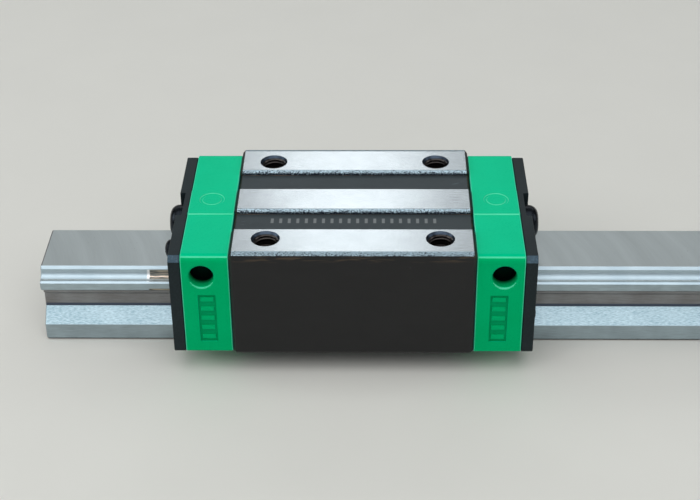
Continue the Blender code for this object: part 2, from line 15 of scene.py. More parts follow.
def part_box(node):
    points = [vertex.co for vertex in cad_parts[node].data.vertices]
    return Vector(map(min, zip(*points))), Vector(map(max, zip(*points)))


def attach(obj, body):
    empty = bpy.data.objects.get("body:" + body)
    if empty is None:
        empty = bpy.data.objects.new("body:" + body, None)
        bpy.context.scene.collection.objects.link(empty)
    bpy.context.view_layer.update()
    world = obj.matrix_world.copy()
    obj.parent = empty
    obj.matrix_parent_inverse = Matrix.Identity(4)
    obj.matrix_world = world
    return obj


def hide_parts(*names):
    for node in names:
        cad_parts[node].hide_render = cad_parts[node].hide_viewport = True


MM = 0.001
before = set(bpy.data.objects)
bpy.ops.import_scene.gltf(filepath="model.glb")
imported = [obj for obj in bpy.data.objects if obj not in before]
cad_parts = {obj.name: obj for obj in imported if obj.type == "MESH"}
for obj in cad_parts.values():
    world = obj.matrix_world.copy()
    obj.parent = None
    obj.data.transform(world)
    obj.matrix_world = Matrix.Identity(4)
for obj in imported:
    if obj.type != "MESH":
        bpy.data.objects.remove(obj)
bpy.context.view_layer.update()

BLOCK_LOW, BLOCK_HIGH = (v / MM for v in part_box("carriage_block"))
RAIL_LOW, RAIL_HIGH = (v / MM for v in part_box("rail"))
CAP_LOW, CAP_HIGH = (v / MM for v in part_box("end_cap_right"))
SEAL_LOW, SEAL_HIGH = (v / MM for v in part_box("end_seal_right"))
PLUG_LOW, PLUG_HIGH = (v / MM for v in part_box("grease_plug_right"))
MIDDLE = (BLOCK_LOW.x + BLOCK_HIGH.x) / 2
HALF_BLOCK = (BLOCK_HIGH.x - BLOCK_LOW.x) / 2
CAP_INNER, CAP_OUTER = CAP_LOW.x - MIDDLE, CAP_HIGH.x - MIDDLE
SEAL_INNER, SEAL_OUTER = SEAL_LOW.x - MIDDLE, SEAL_HIGH.x - MIDDLE
SIDES = ((-1, "front"), (1, "back"))
ENDS = ((-1, "left"), (1, "right"))
LEVELS = ((True, "upper"), (False, "lower"))

RAIL_HALF, NECK_HALF, RAIL_TOP_HALF = 10.0, 7.1, 7.2
RAIL_TOP = 17.5
RIDGE_MIDDLE = 13.87
RIDGE_HALF_HEIGHT = 0.81
RAIL_FOOT, BASE_SHOULDER, NECK_BOTTOM = 0.4, 3.9, 7.1
BALL_RADIUS = 1.5875
BALLS_PER_LOOP = 38
BALL_ACROSS, BALL_ABOVE_RIDGE = 9.4, 2.83
TURN_RADIUS = 3.18
UPPER_TURN_ANGLE, LOWER_TURN_ANGLE = 45, -30
RETURN_BORE_RADIUS = 1.75
BOLT_PLACES = (-60.0, 0.0, 60.0)
BOLT_HEAD_RADIUS, BOLT_SHANK_RADIUS, BOLT_SEAT = 4.75, 3.0, 9.0
TOP_HOLES = [(x, y) for x in (-18.0, 18.0) for y in (-16.0, 16.0)]
HOLE_RADIUS, HOLE_MOUTH, HOLE_FLOOR = 2.5, 3.0, 24.0
LAND_Z, GROOVE_Z = 30.0, 29.0
LAND_CORNER = LAND_Z - 0.5
PORT_X, PORT_Z = 31.1, 24.15
PORT_RADIUS, PORT_LIP, PORT_DEPTH = 2.5, 0.6, 3.4
PANEL_X, PANEL_WIDTH, PANEL_LOW, PANEL_HIGH = 30.2, 3.7, 8.0, 19.7
BARS_PER_PANEL = 5
UPPER_SCREW, LOWER_SCREW = (14.2, 26.3), (17.0, 12.3)
UPPER_SCREW_DEPTH, LOWER_SCREW_DEPTH = 3.4, 6.0
UPPER_SCREW_SINK, LOWER_SCREW_SINK = 1.3, 0.65
RAISED_SCREW = (-1, -1)
SCREW_HEAD_RADIUS, SCREW_HEAD_HEIGHT, SCREW_SEAT_RADIUS = 2.0, 1.3, 2.12
SCREW_HOLE_RADIUS, SCREW_SHANK_RADIUS = 1.7, 1.4
CAP_TOP, CAP_TOP_CORNER = 29.05, 1.6
SEAL_TOP, SEAL_TOP_CORNER = 28.7, 1.15
PLUG_Z = (PLUG_LOW.z + PLUG_HIGH.z) / 2
PLUG_HOLE_RADIUS = 3.0
PLUG_RECESS_FLOOR, PLUG_RECESS_HALF = 36.6, 4.6
PLUG_RECESS_LOW = PLUG_Z - 4.4
SHARP_ANGLE = math.radians(25)
MERGE_DISTANCE = 1e-4


# Shapes.


def arc(centre, radius, start, end, steps):
    """Points round an arc between two angles in degrees."""
    turns = [math.radians(start + (end - start) * i / steps) for i in range(steps + 1)]
    return [(centre[0] + radius * math.cos(t), centre[1] + radius * math.sin(t)) for t in turns]


def mirrored(half):
    """A whole outline from its half on the positive side of Y."""
    return half + [(-y, z) for y, z in reversed(half)]


def over_ridge(z):
    """This height, mirrored across the middle of the rail's ridge."""
    return 2 * RIDGE_MIDDLE - z


def ball_centre(upper):
    """Where a loaded row of balls runs in Y and Z."""
    return BALL_ACROSS, RIDGE_MIDDLE + (BALL_ABOVE_RIDGE if upper else -BALL_ABOVE_RIDGE)


def turn_direction(upper):
    """The direction in Y and Z from a loaded row to its return bore."""
    angle = math.radians(UPPER_TURN_ANGLE if upper else LOWER_TURN_ANGLE)
    return math.cos(angle), math.sin(angle)


def screw_place(upper):
    """Where a cap screw sits in Y and Z, and how deep it goes into the block."""
    if upper:
        return UPPER_SCREW, UPPER_SCREW_DEPTH
    return LOWER_SCREW, LOWER_SCREW_DEPTH


def slope_across(z):
    """Half the rail's width at this height on the slope of its base."""
    share = (z - BASE_SHOULDER) / (NECK_BOTTOM - BASE_SHOULDER)
    return RAIL_HIGH.y - share * (RAIL_HALF - NECK_HALF)


def new_piece(name, shape, x=0.0):
    """An object from a bmesh in millimetres, moved along X."""
    bmesh.ops.remove_doubles(shape, verts=shape.verts, dist=MERGE_DISTANCE)
    bmesh.ops.recalc_face_normals(shape, faces=shape.faces)
    bmesh.ops.transform(shape, verts=shape.verts, matrix=Matrix.Scale(MM, 4))
    mesh = bpy.data.meshes.new(name)
    shape.to_mesh(mesh)
    shape.free()
    piece = bpy.data.objects.new(name, mesh)
    bpy.context.scene.collection.objects.link(piece)
    piece.location.x = x * MM
    return piece


def round_edges(shape, width, segments, chosen):
    """Rounds the edges that the test picks."""
    edges = [e for e in shape.edges if e.is_manifold and chosen(e)]
    bmesh.ops.bevel(
        shape, geom=edges, offset=width, offset_type="OFFSET", segments=segments,
        profile=0.5, affect="EDGES", clamp_overlap=False,
    )


def prism(outline, low, high, end_width, end_segments, edge_width=0.0):
    """A bmesh with this (y, z) outline across X. Its ends and then its sharp edges are rounded."""
    shape = bmesh.new()
    face = shape.faces.new([shape.verts.new((low, y, z)) for y, z in outline])
    risen = bmesh.ops.extrude_face_region(shape, geom=[face])["geom"]
    top = [v for v in risen if isinstance(v, bmesh.types.BMVert)]
    bmesh.ops.translate(shape, verts=top, vec=(high - low, 0.0, 0.0))
    bmesh.ops.recalc_face_normals(shape, faces=shape.faces)
    round_edges(
        shape, end_width, end_segments,
        lambda e: math.isclose(e.verts[0].co.x, e.verts[1].co.x, abs_tol=1e-6),
    )
    if edge_width:
        round_edges(shape, edge_width, 2, lambda e: e.calc_face_angle() > SHARP_ANGLE)
    return shape


def turned(profile, axis, place, steps=48):
    """A bmesh turned about an axis through the place, from (radius, height) points."""
    shape = bmesh.new()
    verts = [shape.verts.new((radius, 0.0, height)) for radius, height in profile]
    edges = [shape.edges.new(pair) for pair in zip(verts, verts[1:])]
    bmesh.ops.spin(
        shape, geom=verts + edges, cent=(0, 0, 0), axis=(0, 0, 1), angle=2 * math.pi, steps=steps
    )
    turn = Vector(axis).to_track_quat("Z", "Y").to_matrix().to_4x4()
    bmesh.ops.remove_doubles(shape, verts=shape.verts, dist=MERGE_DISTANCE)
    bmesh.ops.transform(shape, verts=shape.verts, matrix=Matrix.Translation(place) @ turn)
    bmesh.ops.recalc_face_normals(shape, faces=shape.faces)
    return shape


def joined(shapes):
    """One bmesh from several."""
    whole = bmesh.new()
    for shape in shapes:
        mesh = bpy.data.meshes.new("part")
        shape.to_mesh(mesh)
        shape.free()
        whole.from_mesh(mesh)
        bpy.data.meshes.remove(mesh)
    return whole


def block_shape(low, high, edge):
    """A box from corner to corner, with rounded edges."""
    shape = bmesh.new()
    bmesh.ops.create_cube(shape, size=1.0)
    middle = [(a + b) / 2 for a, b in zip(low, high)]
    sides = [abs(b - a) for a, b in zip(low, high)]
    bmesh.ops.transform(
        shape, verts=shape.verts, matrix=Matrix.Translation(middle) @ Matrix.Diagonal((*sides, 1.0))
    )
    round_edges(shape, edge, 2, lambda e: True)
    return shape


def swept(points, radius, sides=16):
    """A round rod along points, as a bmesh."""
    curve = bpy.data.curves.new("sweep", "CURVE")
    curve.dimensions = "3D"
    curve.bevel_depth = radius
    curve.bevel_resolution = sides // 4
    curve.use_fill_caps = True
    spline = curve.splines.new("POLY")
    spline.points.add(len(points) - 1)
    for point, place in zip(spline.points, points):
        point.co = (*place, 1.0)
    source = bpy.data.objects.new("sweep", curve)
    bpy.context.scene.collection.objects.link(source)
    shape = bmesh.new()
    shape.from_mesh(evaluated(source))
    bpy.data.objects.remove(source)
    bmesh.ops.remove_doubles(shape, verts=shape.verts, dist=MERGE_DISTANCE)
    bmesh.ops.recalc_face_normals(shape, faces=shape.faces)
    return shape


def evaluated(piece):
    """A new mesh of the piece with its modifiers or its curve worked out."""
    bpy.context.view_layer.update()
    graph = bpy.context.evaluated_depsgraph_get()
    return bpy.data.meshes.new_from_object(piece.evaluated_get(graph))


def carve(piece, shapes):
    """Cuts these shapes out of the piece."""
    cutter = new_piece("cutter", joined(shapes), piece.location.x / MM)
    boolean = piece.modifiers.new("Cut", "BOOLEAN")
    boolean.operation = "DIFFERENCE"
    boolean.solver = "EXACT"
    boolean.object = cutter
    mesh = evaluated(piece)
    piece.modifiers.remove(boolean)
    old, piece.data = piece.data, mesh
    bpy.data.meshes.remove(old)
    bpy.data.objects.remove(cutter)


def dress(piece, looks, choose=None, angle=32):
    """Gives the piece its materials and smooth shading.

    The looks are names in LOOK, and choose picks one from a face's middle and normal.
    """
    mesh = piece.data
    mesh.materials.clear()
    for look in looks:
        mesh.materials.append(LOOK[look])
    for face in mesh.polygons:
        face.material_index = looks.index(choose(face.center / MM, face.normal)) if choose else 0
    mesh.shade_smooth()
    mesh.set_sharp_from_angle(angle=math.radians(angle))
    weighted = piece.modifiers.new("Weighted", "WEIGHTED_NORMAL")
    weighted.keep_sharp = True
    return piece


def settle(piece, body, slot, *nodes):
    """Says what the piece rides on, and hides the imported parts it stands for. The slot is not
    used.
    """
    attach(piece, body)
    if nodes:
        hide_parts(*nodes)


# Materials.


def srgb(red, green, blue):
    """A linear colour from 8-bit sRGB values."""
    return tuple(
        (c / 255 / 12.92) if c <= 10 else ((c / 255 + 0.055) / 1.055) ** 2.4
        for c in (red, green, blue)
    ) + (1.0,)


class Look:
    """A node material and short ways to add textures to it."""

    def __init__(self, name, colour, roughness, metallic=0.0, **sockets):
        self.material = bpy.data.materials.new(name)
        self.material.use_nodes = True
        self.tree = self.material.node_tree
        self.shader = self.tree.nodes["Principled BSDF"]
        self.heights = None
        self.set("Base Color", colour)
        self.set("Roughness", roughness)
        self.set("Metallic", metallic)
        for socket, value in sockets.items():
            self.set(socket.replace("_", " "), value)
        coordinates = self.tree.nodes.new("ShaderNodeTexCoord")
        self.place = coordinates.outputs["Object"]

    def set(self, socket, value):
        self.shader.inputs[socket].default_value = value

    def drive(self, socket, output):
        self.tree.links.new(output, self.shader.inputs[socket])

    def plug(self, node, socket, value):
        """Feeds a node's socket from another node, or sets it."""
        if isinstance(value, bpy.types.NodeSocket):
            self.tree.links.new(value, node.inputs[socket])
        else:
            node.inputs[socket].default_value = value

    def mapped(self, stretch, turn=0.0):
        """Object coordinates in millimetres, turned about Z and then stretched."""
        node = self.tree.nodes.new("ShaderNodeMapping")
        node.vector_type = "TEXTURE"
        node.inputs["Scale"].default_value = [MM / s for s in stretch]
        node.inputs["Rotation"].default_value = (0.0, 0.0, math.radians(turn))
        self.tree.links.new(self.place, node.inputs["Vector"])
        return node.outputs["Vector"]

    def noise(self, scale, stretch=(1, 1, 1), detail=3.0, turn=0.0, distort=0.0):
        """Noise whose grains are about 1/scale millimetres across."""
        node = self.tree.nodes.new("ShaderNodeTexNoise")
        node.inputs["Scale"].default_value = scale
        node.inputs["Detail"].default_value = detail
        node.inputs["Distortion"].default_value = distort
        self.tree.links.new(self.mapped(stretch, turn), node.inputs["Vector"])
        return node.outputs["Fac"]

    def noise_at(self, vector, scale, detail):
        """Noise read at a point that other nodes work out."""
        node = self.tree.nodes.new("ShaderNodeTexNoise")
        node.inputs["Scale"].default_value = scale
        node.inputs["Detail"].default_value = detail
        self.tree.links.new(vector, node.inputs["Vector"])
        return node.outputs["Fac"]

    def combined(self, x, y):
        node = self.tree.nodes.new("ShaderNodeCombineXYZ")
        self.plug(node, "X", x)
        self.plug(node, "Y", y)
        return node.outputs["Vector"]

    def axis(self, name):
        """One object coordinate in millimetres."""
        node = self.tree.nodes.new("ShaderNodeSeparateXYZ")
        self.tree.links.new(self.mapped((1, 1, 1)), node.inputs["Vector"])
        return node.outputs[name]

    def maths(self, operation, first, second=0.0, third=0.0):
        node = self.tree.nodes.new("ShaderNodeMath")
        node.operation = operation
        for i, value in enumerate((first, second, third)):
            self.plug(node, i, value)
        return node.outputs[0]

    def remap(self, value, low, high, out_low=0.0, out_high=1.0):
        node = self.tree.nodes.new("ShaderNodeMapRange")
        for i, v in enumerate((value, low, high, out_low, out_high)):
            self.plug(node, i, v)
        return node.outputs["Result"]

    def band(self, value, low, high, soft=0.05):
        """1 between low and high, with soft edges."""
        up = self.remap(value, low - soft, low + soft)
        down = self.remap(value, high - soft, high + soft, 1.0, 0.0)
        return self.maths("MULTIPLY", up, down)

    def mix(self, factor, first, second):
        node = self.tree.nodes.new("ShaderNodeMix")
        node.data_type = "RGBA"
        self.plug(node, 0, factor)
        self.plug(node, 6, first)
        self.plug(node, 7, second)
        return node.outputs[2]

    def colour_so_far(self):
        return self.shader.inputs["Base Color"].links[0].from_socket

    def bump(self, height, distance, strength=1.0):
        """Adds a bump of this height in millimetres."""
        node = self.tree.nodes.new("ShaderNodeBump")
        node.inputs["Distance"].default_value = distance * MM
        node.inputs["Strength"].default_value = strength
        self.tree.links.new(height, node.inputs["Height"])
        if self.heights:
            self.tree.links.new(self.heights, node.inputs["Normal"])
        self.heights = node.outputs["Normal"]
        self.drive("Normal", self.heights)


def scaled(colour, share):
    """A colour made darker or lighter."""
    return tuple(c * share for c in colour[:3]) + (1.0,)


def ground_steel(name, dark, light, roughness, streak=(0.05, 1, 1), pits=0.0, cloud=0.5):
    """Ground steel: fine streaks, a faint mottle, and a bump along the grinding."""
    look = Look(name, light, roughness, 1.0)
    grain = look.noise(6.0, streak, 4.0)
    mottle = look.noise(0.18, (1, 1, 1), 4.0)
    sparkle = look.noise(9.0, (1, 1, 1), 2.0)
    shade = look.maths("MULTIPLY_ADD", grain, 1.0 - cloud, look.maths("MULTIPLY", mottle, cloud))
    colour = look.mix(look.remap(shade, 0.35, 0.65), dark, light)
    if pits:
        spots = look.remap(look.noise(2.2, (0.5, 1, 1), 3.0), 0.68, 0.76)
        colour = look.mix(look.maths("MULTIPLY", spots, pits), colour, scaled(dark, 0.4))
    look.drive("Base Color", colour)
    look.drive("Roughness", look.remap(grain, 0.3, 0.7, roughness - 0.06, roughness + 0.08))
    look.bump(grain, 0.004, 0.7)
    look.bump(sparkle, 0.006, 0.6)
    return look


def wheel_ground_steel(name, dark, light, roughness):
    """The rail's top: crossed by the long curved marks that a cup wheel leaves."""
    look = Look(name, light, roughness, 1.0)
    x, y = look.axis("X"), look.axis("Y")
    tilt, bend = 0.34, 0.012
    squared = look.maths("MULTIPLY", y, y)
    bow = look.maths("MULTIPLY_ADD", squared, bend, look.maths("MULTIPLY", y, tilt))
    along = look.maths("ADD", x, bow)
    fine = look.noise_at(look.combined(along, look.maths("MULTIPLY", y, 0.05)), 3.2, 4.0)
    broad = look.noise_at(look.combined(along, look.maths("MULTIPLY", y, 0.08)), 0.22, 3.0)
    sparkle = look.noise(5.0, (0.6, 1, 1), 3.0)
    shade = look.maths("MULTIPLY_ADD", fine, 0.38, look.maths("MULTIPLY", broad, 0.62))
    colour = look.mix(look.remap(shade, 0.34, 0.66), dark, light)
    dots = look.remap(look.noise(1.3, (1, 1, 1), 2.0), 0.735, 0.76)
    colour = look.mix(look.maths("MULTIPLY", dots, 0.45), colour, scaled(dark, 0.5))
    look.drive("Base Color", colour)
    look.drive("Roughness", look.remap(fine, 0.3, 0.7, roughness - 0.05, roughness + 0.07))
    look.bump(fine, 0.006, 0.7)
    look.bump(sparkle, 0.008, 0.6)
    return look


def paint_neck_foot_shade(look):
    """A thin painted shade line, dark and bluish, where the rail's neck meets the slope of its
    base.
    """
    low = look.band(look.axis("Z"), NECK_BOTTOM - 0.2, NECK_BOTTOM + 0.65, 0.12)
    look.drive("Base Color", look.mix(low, look.colour_so_far(), srgb(88, 96, 112)))


def add_grease(look, lowest, highest, edge):
    """Old grease on the rail's front, just outside the left seal, in a film between two heights,
    with a painted highlight thread along it and a painted bright rim at its left end.
    """
    x, y, z = (look.axis(name) for name in "XYZ")
    start, fade_start, fade_end = MIDDLE - 44.0, MIDDLE - 34.0, MIDDLE - 30.0
    height = look.band(z, lowest, highest, 0.12)
    front = look.maths("MULTIPLY", look.remap(y, -6.5, -7.0), height)
    ragged = look.maths("MULTIPLY_ADD", look.noise(0.8, (0.3, 1.5, 1.5), 3.0), 3.0, -1.5)
    fade = look.remap(look.maths("ADD", x, ragged), fade_end, fade_start)
    film = look.maths("MULTIPLY", front, look.remap(x, start - 0.15, start + 0.15))
    film = look.maths("MULTIPLY", film, fade)
    streaks = look.noise(1.6, (0.12, 2.0, 2.0), 3.0, distort=0.6)
    stain = look.mix(look.remap(streaks, 0.46, 0.58), srgb(84, 80, 70), srgb(168, 154, 132))
    # A painted highlight: a thin pale thread along the film, at a wavering height.
    wave = look.maths("MULTIPLY_ADD", look.noise(0.35, (1, 1, 1), 2.0), 0.5, 15.2)
    thread_of_light = look.maths("COMPARE", z, wave, 0.06)
    stain = look.mix(thread_of_light, stain, srgb(252, 226, 202))
    # A painted highlight: a near-white rim at the film's left end, as strong as edge.
    rim = look.maths("MULTIPLY", front, look.band(x, start - 0.45, start + 0.1, 0.12))
    colour = look.mix(look.maths("MULTIPLY", film, 0.85), look.colour_so_far(), stain)
    colour = look.mix(look.maths("MULTIPLY", rim, edge), colour, srgb(252, 254, 255))
    look.drive("Base Color", colour)


def oxide_steel(name, colour, roughness, grain_height=0.02, brown=0.0):
    """Black-oxide steel with a fine cast-like skin. Brown marks show below the lands."""
    look = Look(name, colour, roughness, 0.25, Specular_IOR_Level=0.45)
    skin = look.noise(5.0, (1, 1, 1), 6.0)
    mottle = look.noise(0.25, (0.6, 1, 1.2), 4.0, distort=0.4)
    shade = look.mix(look.remap(mottle, 0.35, 0.7), colour, scaled(colour, 0.86))
    lighter = scaled(colour, 1.7)
    shade = look.mix(look.maths("MULTIPLY", look.remap(skin, 0.55, 0.8), 0.45), shade, lighter)
    scratch = look.remap(look.noise(0.9, (0.25, 1, 1), 6.0, 20.0, 1.8), 0.715, 0.74)
    shade = look.mix(look.maths("MULTIPLY", scratch, 0.35), shade, scaled(colour, 3.2))
    if brown:
        marks = look.remap(look.noise(0.8, (0.22, 1, 2.2), 5.0, distort=0.8), 0.5, 0.66)
        high = look.band(look.axis("Z"), 28.3, LAND_CORNER, 0.5)
        share = look.maths("MULTIPLY", look.maths("MULTIPLY", marks, high), brown)
        shade = look.mix(share, shade, srgb(92, 74, 56))
    look.drive("Base Color", shade)
    look.drive("Roughness", look.remap(skin, 0.3, 0.7, roughness - 0.08, roughness + 0.1))
    look.bump(skin, grain_height)
    return look


def moulded(name, colour, shadow, roughness, grain=0.006, scale=4.0, speckle=0.0):
    """Moulded plastic: a very fine texture and a slight variation in colour and gloss."""
    look = Look(name, colour, roughness, 0.0, IOR=1.5)
    skin = look.noise(scale, (1, 1, 1), 4.0)
    flow = look.noise(0.12, (1, 1, 1), 3.0)
    shade = look.mix(look.remap(flow, 0.3, 0.7), shadow, colour)
    if speckle:
        flecks = look.remap(look.noise(scale, (1, 1, 1), 2.0), 0.5, 0.72)
        shade = look.mix(look.maths("MULTIPLY", flecks, speckle), shade, scaled(colour, 3.0))
    look.drive("Base Color", shade)
    look.drive("Roughness", look.remap(skin, 0.3, 0.7, roughness - 0.05, roughness + 0.07))
    look.bump(skin, grain)
    return look


def tick_row(look):
    """A plain row of engraved ticks in the front groove."""
    x, y = look.axis("X"), look.axis("Y")
    half_row, half_pitch = 17.55, 0.9
    row = look.maths("MULTIPLY", look.band(x, -half_row, half_row, 0.02), look.band(y, -8.3, -6.5))
    tick = look.band(look.maths("PINGPONG", x, half_pitch), 0.6, 1.5, 0.06)
    etched = look.maths("MULTIPLY", look.maths("MULTIPLY", row, tick), 0.55)
    look.drive("Base Color", look.mix(etched, look.colour_so_far(), srgb(150, 154, 155)))


def shoulder_steel(name):
    """The rough strip beside a ground land, half cleaned up by the wheel."""
    look = Look(name, srgb(130, 145, 155), 0.42, 0.85)
    grains = look.noise(4.6, (0.75, 1, 1), 4.0, distort=0.6)
    height = look.remap(look.axis("Z"), GROOVE_Z + 0.2, LAND_Z, -0.12, 0.12)
    bright = look.remap(look.maths("ADD", grains, height), 0.44, 0.58)
    tint = look.mix(look.noise(1.5, (1, 1, 1), 2.0), srgb(28, 38, 54), srgb(46, 54, 62))
    look.drive("Base Color", look.mix(bright, tint, srgb(176, 200, 212)))
    look.bump(grains, 0.1)
    return look


def port_painted_shade(name, outer, inner):
    """The cap's plastic, with painted shade that turns it near black, mottled, with depth inside
    the grease hole.
    """
    look = Look(name, outer, 0.4, 0.0, IOR=1.5)
    side = look.maths("ABSOLUTE", look.axis("Y"))
    depth = look.remap(side, CAP_HIGH.y - 1.3, CAP_HIGH.y - 2.6)
    film = look.noise(1.2, (1, 1, 1), 2.0)
    look.drive("Base Color", look.mix(depth, outer, look.mix(film, inner, scaled(inner, 0.4))))
    look.bump(film, 0.01)
    return look


def make_looks():
    green = srgb(0, 183, 111)
    looks = {
        "land": ground_steel(
            "land_ground", srgb(162, 170, 175), srgb(184, 193, 197), 0.19, pits=0.12, cloud=0.25
        ),
        "rail_top": wheel_ground_steel(
            "rail_top_ground", srgb(181, 190, 191), srgb(198, 207, 208), 0.42
        ),
        "rail_bright": ground_steel(
            "rail_groove_ground", srgb(176, 196, 207), srgb(196, 214, 223), 0.43
        ),
        "rail_slope": ground_steel(
            "rail_slope_drawn", srgb(130, 157, 169), srgb(190, 212, 221), 0.34, (0.22, 1.2, 1.2),
            cloud=0.15,
        ),
        "rail_side": ground_steel(
            "rail_side_ground", srgb(152, 166, 173), srgb(182, 199, 206), 0.40, pits=0.15
        ),
        "rail_neck": ground_steel(
            "rail_neck_drawn", srgb(132, 130, 130), srgb(160, 162, 164), 0.48, pits=0.2
        ),
        "rail_end": ground_steel(
            "rail_end_cut", srgb(150, 152, 152), srgb(190, 192, 194), 0.40, (1, 1, 0.05)
        ),
        "oxide": oxide_steel("block_oxide", srgb(27, 27, 28), 0.52, brown=0.6),
        "groove": oxide_steel("groove_oxide", srgb(54, 64, 68), 0.50, 0.012),
        "shoulder": shoulder_steel("land_shoulder"),
        "green": moulded("cap_green", green, srgb(0, 177, 105), 0.3),
        # A lighter, bluer copy of the cap's green for its upward faces: painted light from the sky
        # above.
        "green_painted_top_light": moulded("cap_green_painted_top_light", srgb(0, 202, 142), srgb(0, 197, 137), 0.3),
        # A pale copy of the cap's green for its edges, crease, port lips and top rounding: painted
        # highlight.
        "green_painted_highlight": moulded("cap_green_painted_highlight", srgb(90, 222, 174), srgb(70, 214, 160), 0.3),
        # A darker copy of the cap's green for the panel's recess floor: painted shade.
        "green_painted_recess_shade": moulded("cap_green_painted_recess_shade", srgb(0, 161, 97), srgb(0, 153, 90), 0.36),
        # The grease hole's look: painted shade deep inside.
        "port": port_painted_shade("cap_port_painted_shade", green, srgb(1, 18, 12)),
        "seal": moulded("seal_black", srgb(32, 42, 45), srgb(26, 35, 38), 0.42, 0.02, 3.0, 0.2),
        # A lighter, bluer copy of the seal's black for its top corner chamfer: painted highlight.
        "seal_painted_highlight": moulded(
            "seal_black_painted_highlight", srgb(70, 92, 106), srgb(56, 76, 90), 0.4, 0.02, 3.0, 0.3
        ),
        "lip": moulded("lip_rubber", srgb(26, 27, 28), srgb(20, 21, 22), 0.62, 0.02, 3.0),
        "screw": ground_steel("screw_black", srgb(26, 29, 33), srgb(38, 42, 48), 0.3, (1, 1, 1)),
        "plug": ground_steel("plug_black", srgb(30, 34, 39), srgb(40, 45, 50), 0.26, (1, 1, 1)),
        "ball": ground_steel(
            "ball_polished", srgb(214, 216, 220), srgb(234, 236, 240), 0.12, (1, 1, 1)
        ),
        "guide": moulded("guide_ivory", srgb(222, 218, 200), srgb(212, 206, 186), 0.45),
        "retainer": moulded("retainer_dark", srgb(62, 64, 68), srgb(52, 54, 58), 0.5),
        "thread": ground_steel("thread_dark", srgb(50, 48, 49), srgb(88, 83, 80), 0.3, (1, 1, 1)),
        "mouth": ground_steel("hole_mouth_turned", srgb(46, 54, 66), srgb(74, 86, 100), 0.3),
        # Near black for the rail's bottom chamfer: a painted contact shadow.
        "rail_painted_contact_shadow": ground_steel("rail_painted_contact_shadow_dark", srgb(12, 13, 14), srgb(22, 23, 24), 0.6),
    }
    greens = ("green", "green_painted_top_light", "green_painted_highlight", "green_painted_recess_shade")
    for name in greens + ("port",):
        looks[name].set("Metallic", 0.1)
        looks[name].set("Specular IOR Level", 0.06)
        looks[name].set("Specular Tint", (0.0, 1.0, 0.9, 1.0))
    for name in greens:
        looks[name].set("Sheen Weight", 0.25)
        looks[name].set("Sheen Tint", (0.0, 0.7, 1.0, 1.0))
    for name in ("seal", "seal_painted_highlight"):
        looks[name].set("Specular IOR Level", 0.15)
    add_grease(looks["rail_bright"], 15.0, 16.85, 0.9)
    add_grease(looks["rail_side"], 12.9, 13.45, 0.0)
    paint_neck_foot_shade(looks["rail_neck"])
    tick_row(looks["groove"])
    return {name: look.material for name, look in looks.items()}


LOOK = make_looks()


# The rail.


def rail_outline():
    y, z = ball_centre(True)
    radius, offset = 1.68, 0.03
    groove = arc((y + offset, z + offset), radius, 175, 275, 20)
    lower = [(y, over_ridge(z)) for y, z in reversed(groove)]
    ridge = [RIDGE_MIDDLE + RIDGE_HALF_HEIGHT, RIDGE_MIDDLE - RIDGE_HALF_HEIGHT]
    return mirrored(
        [(RAIL_TOP_HALF, RAIL_TOP)]
        + groove
        + [(RAIL_HALF, z) for z in ridge]
        + lower
        + [(NECK_HALF, over_ridge(RAIL_TOP)), (NECK_HALF, NECK_BOTTOM)]
        + [(RAIL_HALF, BASE_SHOULDER), (RAIL_HALF, RAIL_FOOT), (RAIL_HALF - RAIL_FOOT, 0.0)]
    )


def make_rail():
    shape = prism(rail_outline(), RAIL_LOW.x, RAIL_HIGH.x, 0.4, 2, 0.06)
    rail = new_piece("rail_ground", shape)
    head, shank, seat = BOLT_HEAD_RADIUS, BOLT_SHANK_RADIUS, BOLT_SEAT
    profile = [(0.0, RAIL_TOP + 1.0), (head + 1.2, RAIL_TOP + 1.0), (head, RAIL_TOP - 0.3)]
    profile += [(head, seat + 0.2), (head - 0.15, seat), (shank + 0.3, seat), (shank, seat - 0.3)]
    profile += [(shank, 0.3), (shank + 0.6, -0.4), (0.0, -0.4)]
    carve(rail, [turned(profile, (0, 0, 1), (x, 0, 0), 64) for x in BOLT_PLACES])

    def choose(middle, normal):
        y, z = abs(middle.y), middle.z
        if abs(normal.x) > 0.6 and abs(abs(middle.x) - RAIL_HIGH.x) < 1:
            return "rail_end"
        if y < BOLT_HEAD_RADIUS + 1.45 and abs(normal.z) < 0.95:
            return "rail_neck"
        # The bottom chamfer takes the painted contact shadow.
        if z < RAIL_FOOT + 0.05 and normal.z < -0.3:
            return "rail_painted_contact_shadow"
        if normal.z > 0.95:
            return "rail_top"
        if z > RAIL_TOP - 0.5 or (z > RIDGE_MIDDLE + 0.8 and normal.z > 0):
            return "rail_bright"
        if z > RIDGE_MIDDLE - 0.97:
            return "rail_side"
        if z > NECK_BOTTOM - 0.1:
            return "rail_neck"
        return "rail_slope" if z > BASE_SHOULDER + 0.05 else "rail_side"

    looks = [
        "rail_top", "rail_bright", "rail_slope", "rail_side", "rail_neck", "rail_end", "rail_painted_contact_shadow",
    ]
    dress(rail, looks, choose)
    settle(rail, "rail", "rail_steel", "rail")


make_rail()


# The block.


